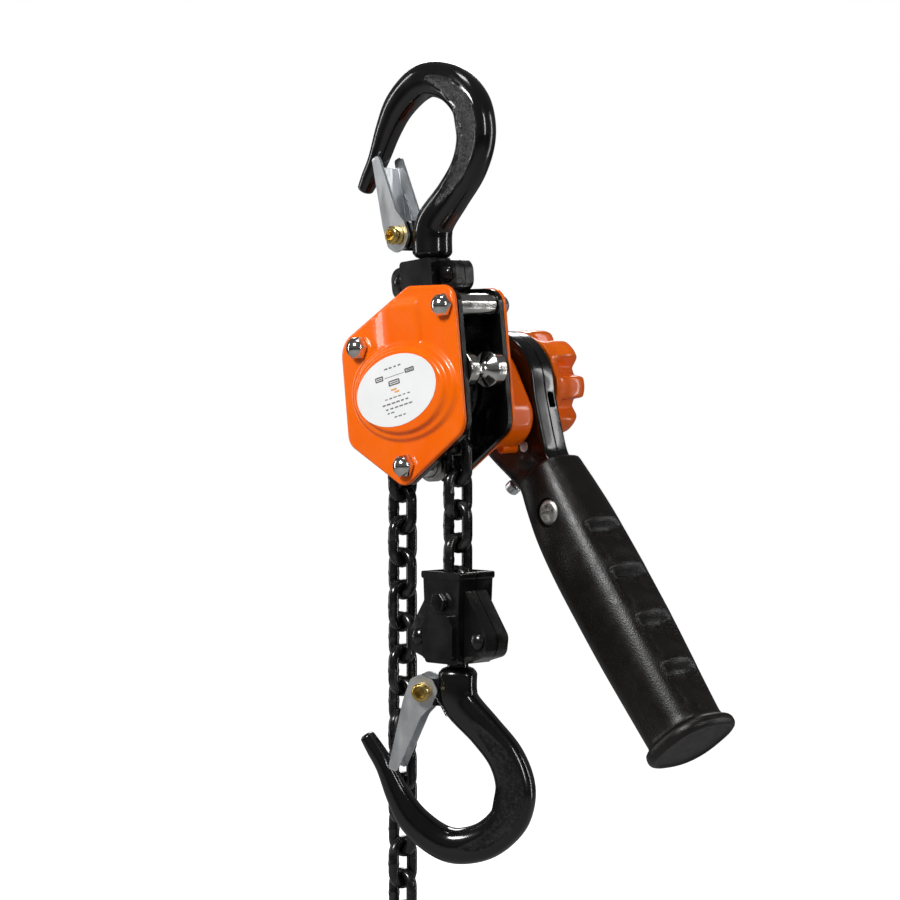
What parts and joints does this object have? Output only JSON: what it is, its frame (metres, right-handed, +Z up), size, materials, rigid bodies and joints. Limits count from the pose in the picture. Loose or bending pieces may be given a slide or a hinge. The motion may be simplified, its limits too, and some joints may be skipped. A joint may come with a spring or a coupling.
{
  "type": "lever chain hoist",
  "caption": "Compact lever chain hoist: swivel hooks with spring latches, open frame with chain sheave, screw brake with hand wheel, and a ratchet lever.",
  "frame": {"origin": "saddle of the upper hook, on the hook's swivel axis, where the hoist hangs", "axes": "+Z up along the hoist's length; Y along the sheave shaft with the hand wheel at +Y and the end cover at -Y; +X towards the loaded chain strand and the lever"},
  "size_m": [0.1416, 0.0831, 0.3305],
  "materials": {
    "black_enamel": "gloss baked enamel",
    "orange_enamel": "gloss powder coat",
    "chrome_plate": "polished plating",
    "bare_steel": "machined, oiled",
    "spring_steel": "drawn wire",
    "zinc_plate": "bright zinc plate",
    "yellow_zinc": "yellow passivated zinc",
    "bronze": "sintered",
    "friction_lining": "moulded lining",
    "grip_plastic": "fine satin grain",
    "black_chain": "blackened, satin"
  },
  "bodies": {
    "top_hook": {"top_hook": "black_enamel", "top_latch_bolt": "yellow_zinc", "top_latch_nut": "yellow_zinc", "top_latch_spring": "spring_steel"},
    "top_latch": {"top_latch": "zinc_plate"},
    "top_yoke": {"top_yoke_front": "black_enamel", "top_yoke_rear": "black_enamel", "top_yoke_rivet_left": "black_enamel", "top_yoke_rivet_right": "black_enamel"},
    "frame": {"front_side_plate": "black_enamel", "rear_side_plate": "black_enamel", "end_cover": "orange_enamel", "brake_cover": "orange_enamel", "stay_top": "chrome_plate", "stay_left": "chrome_plate", "stay_bottom": "chrome_plate", "front_nut_top": "chrome_plate", "front_nut_left": "chrome_plate", "front_nut_bottom": "chrome_plate", "rear_nut_top": "chrome_plate", "rear_nut_left": "chrome_plate", "rear_nut_bottom": "chrome_plate", "top_pin": "bare_steel", "chain_stripper": "bare_steel", "front_bush": "bronze", "rear_bush": "bronze", "brake_pawl_pin": "bare_steel", "brake_pawl_spring": "spring_steel", "chain_over_sheave": "black_chain"},
    "roller_load": {"guide_roller_load": "chrome_plate"},
    "roller_tail": {"guide_roller_tail": "chrome_plate"},
    "drive": {"load_shaft": "bare_steel", "shaft_circlip": "spring_steel", "brake_hub": "bare_steel", "friction_disc_inner": "friction_lining", "friction_disc_outer": "friction_lining", "change_gear": "bare_steel", "hand_wheel": "orange_enamel", "wheel_nut": "bare_steel"},
    "ratchet_disc": {"ratchet_disc": "bare_steel"},
    "brake_pawl": {"brake_pawl": "bare_steel"},
    "lever": {"lever_housing_front": "black_enamel", "lever_housing_rear": "black_enamel", "grip": "grip_plastic", "grip_screw": "chrome_plate", "grip_nut": "chrome_plate"},
    "selector": {"selector_pawl": "zinc_plate"},
    "load_strand": {"load_chain": "black_chain"},
    "bottom_block": {"chain_pin": "black_enamel", "bottom_yoke_front": "black_enamel", "bottom_yoke_rear": "black_enamel", "bottom_yoke_rivet_left": "black_enamel", "bottom_yoke_rivet_right": "black_enamel"},
    "bottom_hook": {"bottom_hook": "black_enamel", "bottom_latch_bolt": "yellow_zinc", "bottom_latch_nut": "yellow_zinc", "bottom_latch_spring": "spring_steel"},
    "bottom_latch": {"bottom_latch": "zinc_plate"},
    "tail_strand": {"tail_chain": "black_chain"}
  },
  "joints": [
    {"name": "top_latch_hinge", "type": "hinge", "parent": "top_hook", "child": "top_latch", "pos_m": [-0.01149, -0.0004, -0.0505], "axis": [-0.0349, 0.9994, 0], "range_deg": [0, 45], "stiffness_Nm_per_rad": 0.012, "springref_deg": -14.32, "deforming": ["top_latch_spring"]},
    {"name": "top_swivel", "type": "hinge", "parent": "top_hook", "child": "top_yoke", "pos_m": [0, 0, -0.052], "axis": [0, 0, 1], "continuous": true},
    {"name": "frame_swing", "type": "hinge", "parent": "top_yoke", "child": "frame", "pos_m": [0.00168, 0, -0.07753], "axis": [0, 1, 0], "range_deg": [-5, 5]},
    {"name": "roller_load_spin", "type": "hinge", "parent": "frame", "child": "roller_load", "pos_m": [0.02289, 0, -0.09953], "axis": [0, 1, 0], "continuous": true},
    {"name": "roller_tail_spin", "type": "hinge", "parent": "frame", "child": "roller_tail", "pos_m": [-0.02644, 0, -0.10472], "axis": [0, 1, 0], "continuous": true},
    {"name": "drive_spin", "type": "hinge", "parent": "frame", "child": "drive", "pos_m": [-0.0013, 0, -0.1066], "axis": [0, 1, 0], "continuous": true, "deforming": ["chain_over_sheave"]},
    {"name": "ratchet_disc_spin", "type": "hinge", "parent": "frame", "child": "ratchet_disc", "pos_m": [-0.0013, 0, -0.1066], "axis": [0, 1, 0], "continuous": true},
    {"name": "brake_pawl_hinge", "type": "hinge", "parent": "frame", "child": "brake_pawl", "pos_m": [0.01452, 0, -0.11741], "axis": [0, 1, 0], "range_deg": [-13, 0.5], "stiffness_Nm_per_rad": 0.002, "springref_deg": -28.65},
    {"name": "lever_swing", "type": "hinge", "parent": "frame", "child": "lever", "pos_m": [-0.0013, 0, -0.1066], "axis": [0, 1, 0], "continuous": true},
    {"name": "selector_tilt", "type": "hinge", "parent": "lever", "child": "selector", "pos_m": [0.01521, 0, -0.12859], "axis": [0, 1, 0], "range_deg": [-13, 13]},
    {"name": "load_strand_swing", "type": "hinge", "parent": "frame", "child": "load_strand", "pos_m": [0.01319, 0, -0.1292], "axis": [0, 1, 0], "range_deg": [-12, 0]},
    {"name": "block_tilt", "type": "hinge", "parent": "load_strand", "child": "bottom_block", "pos_m": [0.01319, 0, -0.1841], "axis": [0, 1, 0], "range_deg": [-4, 4]},
    {"name": "bottom_swivel", "type": "hinge", "parent": "bottom_block", "child": "bottom_hook", "pos_m": [0.01319, 0, -0.2066], "axis": [0, 0, 1], "range_deg": [-6, 128]},
    {"name": "bottom_latch_hinge", "type": "hinge", "parent": "bottom_hook", "child": "bottom_latch", "pos_m": [0.00323, -0.00575, -0.2171], "axis": [0.5, -0.866, 0], "range_deg": [0, 45], "stiffness_Nm_per_rad": 0.012, "springref_deg": -14.32, "deforming": ["bottom_latch_spring"]},
    {"name": "tail_strand_swing", "type": "hinge", "parent": "frame", "child": "tail_strand", "pos_m": [-0.01579, 0, -0.1239], "axis": [0, 1, 0], "range_deg": [0, 12]}
  ],
  "couplings": [
    {"joint": "ratchet_disc_spin", "follows": "drive_spin", "ratio": 1}
  ]
}
